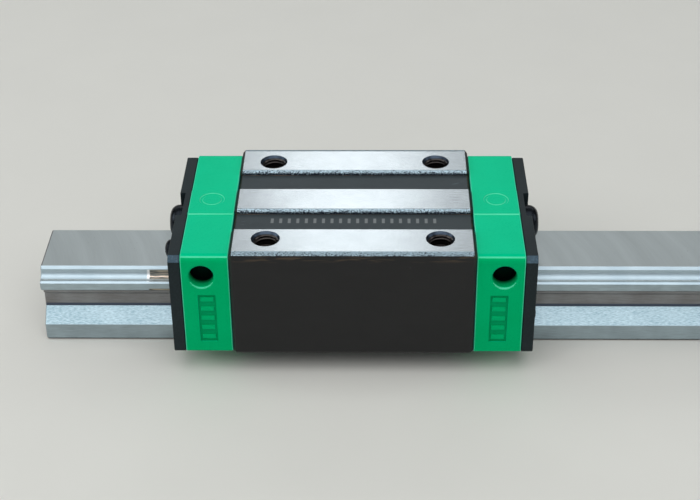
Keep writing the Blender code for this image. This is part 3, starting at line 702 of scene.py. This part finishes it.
def block_outline():
    half, foot = BLOCK_HIGH.y, BLOCK_LOW.z
    land_corners = [(4.15, LAND_Z), (4.7, LAND_CORNER), (4.8, GROOVE_Z)]
    land_corners += [(11.65, GROOVE_Z), (11.75, LAND_CORNER), (12.3, LAND_Z)]
    side = [(half - 1.2, LAND_Z), (half, LAND_Z - 0.3), (half, foot + 1.0), (half - 1.0, foot)]
    strip_room = [(12.6, foot), (12.6, foot + 1.8), (10.4, foot + 1.8)]
    lower = arc(ball_centre(False), BALL_RADIUS + 0.05, -108, -5, 16)
    upper = [(y, over_ridge(z)) for y, z in reversed(lower)]
    mouth, floor, roof = lower[0][0], 7.9, 18.9
    ridge_room, ridge_low = 11.6, 11.4
    return mirrored(
        land_corners + side + strip_room + [(mouth, floor)]
        + lower
        + [(ridge_room, ridge_low), (ridge_room, over_ridge(ridge_low))]
        + upper
        + [(mouth, roof)]
    )


def thread(x, y):
    """A helical ridge in a threaded hole."""
    turns, pitch, steps = 6.6, 0.8, 28
    radius, top, thickness = HOLE_RADIUS - 0.03, LAND_CORNER - 0.05, 0.27
    points = []
    for i in range(int(turns * steps) + 1):
        angle = 2 * math.pi * i / steps
        across, along = radius * math.cos(angle), radius * math.sin(angle)
        points.append((x + across, y + along, top - pitch * i / steps))
    return swept(points, thickness, 4)


def make_block():
    shape = prism(block_outline(), -HALF_BLOCK, HALF_BLOCK, 0.55, 1, 0.1)
    block = new_piece("carriage_block_steel", shape, MIDDLE)
    hole = [(0, LAND_Z + 1), (HOLE_MOUTH + 1, LAND_Z + 1), (HOLE_MOUTH, LAND_Z)]
    hole += [(HOLE_RADIUS, LAND_CORNER), (HOLE_RADIUS, HOLE_FLOOR), (0, HOLE_FLOOR - 1)]
    cuts = [turned(hole, (0, 0, 1), (x, y, 0)) for x, y in TOP_HOLES]
    past_end, tap_radius = 27, 1.5
    bore = [(0, past_end), (RETURN_BORE_RADIUS, past_end)]
    bore += [(RETURN_BORE_RADIUS, -past_end), (0, -past_end)]
    for side, _ in SIDES:
        for upper, _ in LEVELS:
            (y, z), (dy, dz) = ball_centre(upper), turn_direction(upper)
            place = (0, side * (y + 2 * TURN_RADIUS * dy), z + 2 * TURN_RADIUS * dz)
            cuts.append(turned(bore, (1, 0, 0), place, 32))
        for end, _ in ENDS:
            for upper, _ in LEVELS:
                (y, z), depth = screw_place(upper)
                tap = [(0, 1), (tap_radius, 1), (tap_radius, -depth), (0, -depth - 0.5)]
                cuts.append(turned(tap, (end, 0, 0), (end * HALF_BLOCK, side * y, z), 24))
    carve(block, cuts)

    def choose(middle, normal):
        z = middle.z
        from_hole = min(math.hypot(middle.x - x, middle.y - y) for x, y in TOP_HOLES)
        if from_hole < HOLE_MOUTH + 0.05 and z > HOLE_FLOOR - 1.5:
            if normal.z > 0.99:
                return "land"
            return "mouth" if z > LAND_CORNER else "thread"
        if abs(normal.x) > 0.3:
            return "oxide"
        if z > LAND_Z - 0.05 and normal.z > 0.97:
            return "land"
        if abs(z - GROOVE_Z) < 0.1 and normal.z > 0.97:
            return "groove"
        return "shoulder" if z > GROOVE_Z + 0.12 else "oxide"

    dress(block, ["oxide", "land", "groove", "shoulder", "thread", "mouth"], choose, 8)
    settle(block, "carriage", "block_steel", "carriage_block")
    ridges = joined([thread(x, y) for x, y in TOP_HOLES])
    threads = new_piece("mounting_hole_threads", ridges, MIDDLE)
    settle(dress(threads, ["thread"], angle=50), "carriage", "block_steel")


make_block()


# The end caps.


def rail_room(bottom):
    """The half outline of the opening that clears the rail."""
    neck, ridge = NECK_HALF + 0.8, RAIL_HALF + 0.7
    return [
        (slope_across(bottom) + 0.85, bottom),
        (neck, 7.6), (neck, 9.6), (ridge, 12.3), (ridge, 15.4), (8.0, 18.2),
    ]


def cap_outline():
    half, top, foot, foot_corner = CAP_HIGH.y, CAP_TOP, CAP_LOW.z, 0.6
    return mirrored(
        [(4.85, top + 0.25), (5.1, top)]
        + arc((half - CAP_TOP_CORNER, top - CAP_TOP_CORNER), CAP_TOP_CORNER, 90, 0, 14)
        + arc((half - foot_corner, foot + foot_corner), foot_corner, 0, -90, 6)
        + rail_room(foot)
    )


def turn_points(end, side, upper):
    """Points round a half turn, from a loaded row to its return bore, and a little past both."""
    (y, z), (dy, dz) = ball_centre(upper), turn_direction(upper)
    steps, past = 20, 0.8
    points = []
    for i in range(-1, steps + 2):
        angle = math.pi * min(max(i, 0), steps) / steps
        out = TURN_RADIUS * math.sin(angle) - (past if i in (-1, steps + 1) else 0.0)
        d = TURN_RADIUS * (1 - math.cos(angle))
        points.append((end * (HALF_BLOCK + 0.1 + out), side * (y + d * dy), z + d * dz))
    return points


def drill(end, y, z, radius, inner, steps):
    """A round cutter along X, from this distance out of the middle to past the seals."""
    outer = 40
    profile = [(0, outer), (radius, outer), (radius, inner), (0, inner)]
    return turned(profile, (end, 0, 0), (0, y, z), steps)


def port_cutter(end, side):
    """The side grease hole, with a rounded mouth."""
    lip = [
        (PORT_RADIUS + PORT_LIP * (1 - math.sin(t)), PORT_LIP * (math.cos(t) - 1))
        for t in (math.radians(a) for a in range(9, 91, 9))
    ]
    profile = [(0, 1.0), (PORT_RADIUS + PORT_LIP + 0.1, 1.0)] + lip
    profile += [(PORT_RADIUS, -PORT_DEPTH), (0, -PORT_DEPTH)]
    return turned(profile, (0, side, 0), (end * PORT_X, side * CAP_HIGH.y, PORT_Z))


def make_cap(end, word):
    low, high = sorted((end * CAP_INNER, end * CAP_OUTER))
    shape = prism(cap_outline(), low, high, 0.2, 2, 0.08)
    cap = new_piece(f"end_cap_{word}_moulded", shape, MIDDLE)
    side_y, soft = CAP_HIGH.y, 0.12
    near, far = PANEL_X - PANEL_WIDTH / 2, PANEL_X + PANEL_WIDTH / 2
    bar_pitch = (PANEL_HIGH - PANEL_LOW) / BARS_PER_PANEL
    half_bar, bar_gap, cavity = 0.55, 0.45, 20
    cuts = [drill(end, 0, PLUG_Z, PLUG_HOLE_RADIUS, cavity, 32)]
    bars = []
    for side, _ in SIDES:
        cuts.append(port_cutter(end, side))
        corner = (end * near, side * (side_y + 1.0), PANEL_LOW)
        cuts.append(block_shape(corner, (end * far, side * (side_y - 0.35), PANEL_HIGH), soft))
        for i in range(BARS_PER_PANEL):
            z = PANEL_LOW + (i + 0.5) * bar_pitch
            corner = (end * (near + bar_gap), side * (side_y - 0.5), z - half_bar)
            opposite = (end * (far - bar_gap), side * (side_y - 0.1), z + half_bar)
            bars.append(block_shape(corner, opposite, soft))
        for y, z in (UPPER_SCREW, LOWER_SCREW):
            cuts.append(drill(end, side * y, z, SCREW_HOLE_RADIUS, cavity, 24))
        for upper, _ in LEVELS:
            cuts.append(swept(turn_points(end, side, upper), BALL_RADIUS + 0.2))
    carve(cap, cuts)
    ring = [(0, 1), (2.7, 1), (2.7, 0.0), (2.55, -0.14), (2.1, -0.16), (1.95, -0.05), (0, -0.04)]
    ring_place = (end * 30.5, 0.9, CAP_TOP + 0.25)
    carve(cap, [turned(ring, (0, 0, 1), ring_place)])

    def choose(middle, normal):
        across = math.hypot(middle.x - end * PORT_X, middle.z - PORT_Z)
        # The grease hole's wall takes the look with painted shade.
        if across < PORT_RADIUS + 0.05 and abs(middle.y) > side_y - PORT_DEPTH - 0.1:
            return "port"
        beside_panel = abs(middle.x - end * PANEL_X) < PANEL_WIDTH / 2 + 0.2
        # Inside the panel, the recess floor takes the painted shade.
        if beside_panel and PANEL_LOW < middle.z < PANEL_HIGH:
            return "green_painted_recess_shade" if abs(middle.y) < side_y - 0.2 else "green"
        # Faces that take the painted highlight: the plateau crease, the end bevels, the port's
        # lower lip and a stripe on the top rounding.
        crease_highlight = middle.z > CAP_TOP and 0.4 < normal.z < 0.95
        edge = 0.3 < abs(normal.x) < 0.97 and across > PORT_RADIUS + PORT_LIP + 0.2
        glint = PORT_RADIUS + 0.1 < across < PORT_RADIUS + PORT_LIP and normal.z > 0.35
        rim = middle.z > CAP_TOP - CAP_TOP_CORNER and 0.74 < normal.z < 0.84
        if crease_highlight or edge or glint or rim:
            return "green_painted_highlight"
        # Upward faces take the copy with painted light from above.
        return "green_painted_top_light" if normal.z > 0.84 else "green"

    dress(cap, ["green", "port", "green_painted_highlight", "green_painted_recess_shade", "green_painted_top_light"], choose)
    settle(cap, "carriage", "cap_plastic", f"end_cap_{word}")
    raised = new_piece(f"end_cap_{word}_panel_bars", joined(bars), MIDDLE)
    settle(dress(raised, ["green"]), "carriage", "cap_plastic")


for end, word in ENDS:
    make_cap(end, word)


# The end seals, their lips, and the fasteners.


def seal_outline():
    half, top, foot, foot_corner = SEAL_HIGH.y, SEAL_TOP, SEAL_LOW.z, 0.8
    return mirrored(
        [(half - SEAL_TOP_CORNER, top), (half, top - SEAL_TOP_CORNER)]
        + arc((half - foot_corner, foot + foot_corner), foot_corner, 0, -90, 6)
        + rail_room(foot)
    )


def lip_outline():
    """A thin band round the rail, whose inner edge follows the rail's grooves."""
    foot, neck = SEAL_LOW.z, NECK_HALF + 0.2
    groove = [(8.15, 16.75), (8.75, 15.95), (9.7, 15.3), (10.2, RIDGE_MIDDLE + 0.91)]
    lower = [(y, over_ridge(z)) for y, z in reversed(groove)]
    inner = [(neck, RAIL_TOP + 0.2)] + groove + lower
    inner += [(neck, 10.1), (neck, 7.2), (slope_across(foot) + 0.3, foot)]
    outer = [(y - 0.1, z) for y, z in rail_room(foot)]
    outer[-1] = (outer[-1][0], outer[-1][1] - 0.1)
    return outer + [(-y, z) for y, z in reversed(inner + outer)] + inner


def screw_sink(end, side, upper):
    """How far a screw's head is sunk into the seal. The raised one isn't."""
    if not upper:
        return LOWER_SCREW_SINK
    return 0.0 if (end, side) == RAISED_SCREW else UPPER_SCREW_SINK


def plug_recess(end):
    """The open recess round the grease plug, up through the seal's top edge."""
    corner = (end * PLUG_RECESS_FLOOR, -PLUG_RECESS_HALF, PLUG_RECESS_LOW)
    opposite = (end * (SEAL_OUTER + 1), PLUG_RECESS_HALF, SEAL_TOP + 1.8)
    return block_shape(corner, opposite, 0.15)


def shoulder_field(end, side):
    """A shallow sunk field on one shoulder of the seal."""
    depth, near, far, low, high = 0.35, 12.6, 19.8, 16.0, 22.4
    corner = (end * (SEAL_OUTER - depth), side * near, low)
    return block_shape(corner, (end * (SEAL_OUTER + 1), side * far, high), 0.15)


def make_seal(end, word):
    low, high = sorted((end * SEAL_INNER, end * SEAL_OUTER))
    shape = prism(seal_outline(), low, high, 0.15, 2, 0.1)
    seal = new_piece(f"end_seal_{word}_moulded", shape, MIDDLE)
    carve(seal, [plug_recess(end)])
    inner = 30
    cuts = [drill(end, 0, PLUG_Z, PLUG_HOLE_RADIUS + 0.1, inner, 32)]
    for side, _ in SIDES:
        for y, z in (UPPER_SCREW, LOWER_SCREW):
            cuts.append(drill(end, side * y, z, SCREW_HOLE_RADIUS, inner, 24))
        cuts.append(shoulder_field(end, side))
    carve(seal, cuts)
    seats, radius, rim = [], SCREW_SEAT_RADIUS, 0.12
    for side, _ in SIDES:
        for upper, _ in LEVELS:
            (y, z), sink = screw_place(upper)[0], screw_sink(end, side, upper)
            if sink:
                seat = [(0, 1), (radius + rim, 1), (radius + rim, 0.0)]
                seat += [(radius, -rim), (radius, -sink), (0, -sink)]
                seats.append(turned(seat, (end, 0, 0), (end * SEAL_OUTER, side * y, z), 40))
    carve(seal, seats)

    def choose(middle, normal):
        # The top corner chamfer takes the painted highlight.
        corner_highlight = abs(middle.y) > SEAL_HIGH.y - SEAL_TOP_CORNER and 0.3 < normal.z < 0.95
        return "seal_painted_highlight" if corner_highlight else "seal"

    dress(seal, ["seal", "seal_painted_highlight"], choose)
    settle(seal, "carriage", "seal_plastic", f"end_seal_{word}")
    lip_thickness = 1.1
    low, high = sorted((end * (SEAL_OUTER - lip_thickness), end * SEAL_OUTER))
    lip = new_piece(f"seal_lip_{word}_rubber", prism(lip_outline(), low, high, 0.06, 1), MIDDLE)
    settle(dress(lip, ["lip"]), "carriage", "lip_rubber", f"seal_lip_{word}")


def make_plug(end, word):
    """A round-shouldered plug with a hexagon socket."""
    foot, inner_end = PLUG_RECESS_FLOOR + 0.05, 30.6
    rise, tail = PLUG_HIGH.x - MIDDLE - foot, inner_end - foot
    radius, dome, stem, across = 3.7, 2.0, PLUG_HOLE_RADIUS - 0.1, 1.45
    place = (end * foot, 0, PLUG_Z)
    profile = [(0, rise)] + arc((radius - dome, rise - dome), dome, 90, 0, 14)
    profile += [(radius, 0.1), (radius - 0.1, 0), (stem, 0), (stem, tail), (0, tail)]
    shape = turned(profile, (end, 0, 0), place)
    plug = new_piece(f"grease_plug_{word}_steel", shape, MIDDLE)
    socket = [(0, rise + 1), (across + 0.35, rise + 1), (across, rise - 0.15)]
    socket += [(across, rise - 1.3), (0, rise - 1.6)]
    carve(plug, [turned(socket, (end, 0, 0), place, 6)])
    settle(dress(plug, ["plug"]), "carriage", "screw_steel", f"grease_plug_{word}")


def make_screw(end, side, upper, name):
    """A domed screw with a cross recess."""
    (y, z), depth = screw_place(upper)
    y *= side
    foot = SEAL_OUTER - screw_sink(end, side, upper) + 0.05
    tip = HALF_BLOCK - depth + 0.1 - foot
    radius, rise, shank = SCREW_HEAD_RADIUS, SCREW_HEAD_HEIGHT - 0.05, SCREW_SHANK_RADIUS
    angles = [math.radians(a) for a in range(0, 81, 5)]
    profile = [(radius * math.sin(t), rise * math.cos(t) ** 0.9) for t in angles]
    profile += [(radius, 0.06), (radius - 0.08, 0.0)]
    profile += [(shank, 0.0), (shank, tip + 0.3), (shank - 0.3, tip), (0, tip)]
    shape = turned(profile, (end, 0, 0), (end * foot, y, z), 40)
    screw = new_piece(name + "_steel", shape, MIDDLE)
    long, short = 1.25, 0.27
    cross_floor, past_head = end * (foot + 0.55), end * (foot + 2)
    for wide, tall in ((long, short), (short, long)):
        corner = (cross_floor, y - wide, z - tall)
        carve(screw, [block_shape(corner, (past_head, y + wide, z + tall), 0.08)])
    settle(dress(screw, ["screw"]), "carriage", "screw_steel", name)


for end, word in ENDS:
    make_seal(end, word)
    make_plug(end, word)
    for side, side_word in SIDES:
        for upper, level in LEVELS:
            make_screw(end, side, upper, f"cap_screw_{word}_{side_word}_{level}")


# What runs inside, and under the legs.


def loop_point(travel, side, upper):
    """The point this far along a ball loop: a straight row and a half turn, twice."""
    straight, turn = 2 * HALF_BLOCK, math.pi * TURN_RADIUS
    travel %= 2 * (straight + turn)
    half, travel = divmod(travel, straight + turn)
    way = 1 - 2 * half
    if travel < straight:
        x, d = travel - HALF_BLOCK, -1.0
    else:
        angle = (travel - straight) / TURN_RADIUS
        x, d = HALF_BLOCK + TURN_RADIUS * math.sin(angle), -math.cos(angle)
    (y, z), (dy, dz) = ball_centre(upper), turn_direction(upper)
    d = TURN_RADIUS * (1 + way * d)
    return way * x, side * (y + d * dy), z + d * dz


def make_balls(side, side_word, upper, level):
    pitch = (4 * HALF_BLOCK + 2 * math.pi * TURN_RADIUS) / BALLS_PER_LOOP
    shape = bmesh.new()
    for i in range(BALLS_PER_LOOP):
        place = Matrix.Translation(loop_point((i + 0.5) * pitch, side, upper))
        bmesh.ops.create_icosphere(shape, subdivisions=3, radius=BALL_RADIUS, matrix=place)
    name = f"ball_circuit_{side_word}_{level}"
    balls = new_piece(name + "_balls", shape, MIDDLE)
    settle(dress(balls, ["ball"], angle=60), "carriage", "ball_steel", name)


for side, side_word in SIDES:
    for upper, level in LEVELS:
        make_balls(side, side_word, upper, level)

# These CAD solids keep their shapes.
for name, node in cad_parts.items():
    for stem, look, slot in (
        ("return_guide", "guide", "guide_plastic"),
        ("ball_retainer", "retainer", "retainer_plastic"),
        ("bottom_seal", "lip", "lip_rubber"),
    ):
        if name.startswith(stem):
            node.data.materials.clear()
            node.data.materials.append(LOOK[look])


# The stage.


def area_light(name, place, aim, width, depth, power):
    """A soft rectangular light, with its power in watts."""
    light = bpy.data.lights.new(name, "AREA")
    light.shape = "RECTANGLE"
    light.size, light.size_y = width * MM, depth * MM
    light.energy = power
    lamp = bpy.data.objects.new(name, light)
    lamp.location = Vector(place) * MM
    lamp.rotation_euler = (Vector(aim) - Vector(place)).to_track_quat("-Z", "Y").to_euler()
    bpy.context.scene.collection.objects.link(lamp)


def make_floor():
    """A plain pale floor, a hair below the rail's foot."""
    half_size, gap = 6000, 0.02
    shape = bmesh.new()
    bmesh.ops.create_grid(shape, x_segments=1, y_segments=1, size=half_size)
    floor = new_piece("floor", shape)
    floor.location.z = -gap * MM
    look = Look("floor_pale", srgb(221, 219, 213), 0.7)
    grain = look.noise(0.05, (1, 1, 1), 3.0)
    look.drive("Base Color", look.mix(grain, srgb(219, 219, 213), srgb(223, 223, 217)))
    floor.data.materials.append(look.material)


def light_studio():
    world = bpy.data.worlds.new("studio")
    bpy.context.scene.world = world
    world.use_nodes = True
    background = world.node_tree.nodes["Background"]
    background.inputs["Color"].default_value = (0.88, 0.94, 1.0, 1.0)
    background.inputs["Strength"].default_value = 0.11
    target = (MIDDLE, 0, 15)
    area_light("front_top", (MIDDLE, -480, 680), target, 1100, 500, 2.45)
    area_light("back_wide", (MIDDLE, 700, 450), target, 1200, 300, 0.88)
    area_light("behind", (MIDDLE - 15, 620, 408), target, 105, 145, 0.082)
    area_light("high", (MIDDLE, -40, 880), target, 1100, 600, 2.2)
    area_light("ceiling", (MIDDLE, 120, 960), (MIDDLE, 120, 0), 2400, 1600, 1.8)
    area_light("front_low", (MIDDLE, -900, 360), target, 3200, 440, 1.9)
    area_light("left_front", (MIDDLE - 500, -420, 520), target, 200, 200, 0.45)
    area_light("left_side", (MIDDLE - 700, 0, 350), target, 400, 400, 1.3)
    area_light("right_side", (MIDDLE + 700, 0, 350), target, 400, 400, 0.75)


def make_camera():
    """A long lens, looking down at about 33 degrees."""
    data = bpy.data.cameras.new("camera")
    data.sensor_width, data.lens = 36.0, 80.30
    data.clip_start, data.clip_end = 0.01, 20.0
    camera = bpy.data.objects.new("camera", data)
    pitch, yaw, roll = (math.radians(a) for a in (32.721, -1.118, -0.519))
    level = Vector((math.sin(yaw), math.cos(yaw), 0.0))
    ahead = level * math.cos(pitch) - Vector((0.0, 0.0, math.sin(pitch)))
    right = Vector((math.cos(yaw), -math.sin(yaw), 0.0))
    up = right.cross(ahead)
    right, up = (
        math.cos(roll) * right + math.sin(roll) * up,
        math.cos(roll) * up - math.sin(roll) * right,
    )
    turn = Matrix((right, up, -ahead)).transposed().to_4x4()
    place = Vector((MIDDLE + 4.69, -287.11, 201.46)) * MM
    camera.matrix_world = Matrix.Translation(place) @ turn
    bpy.context.scene.collection.objects.link(camera)
    bpy.context.scene.camera = camera


make_floor()
light_studio()
make_camera()
bpy.context.scene.view_settings.view_transform = "Standard"
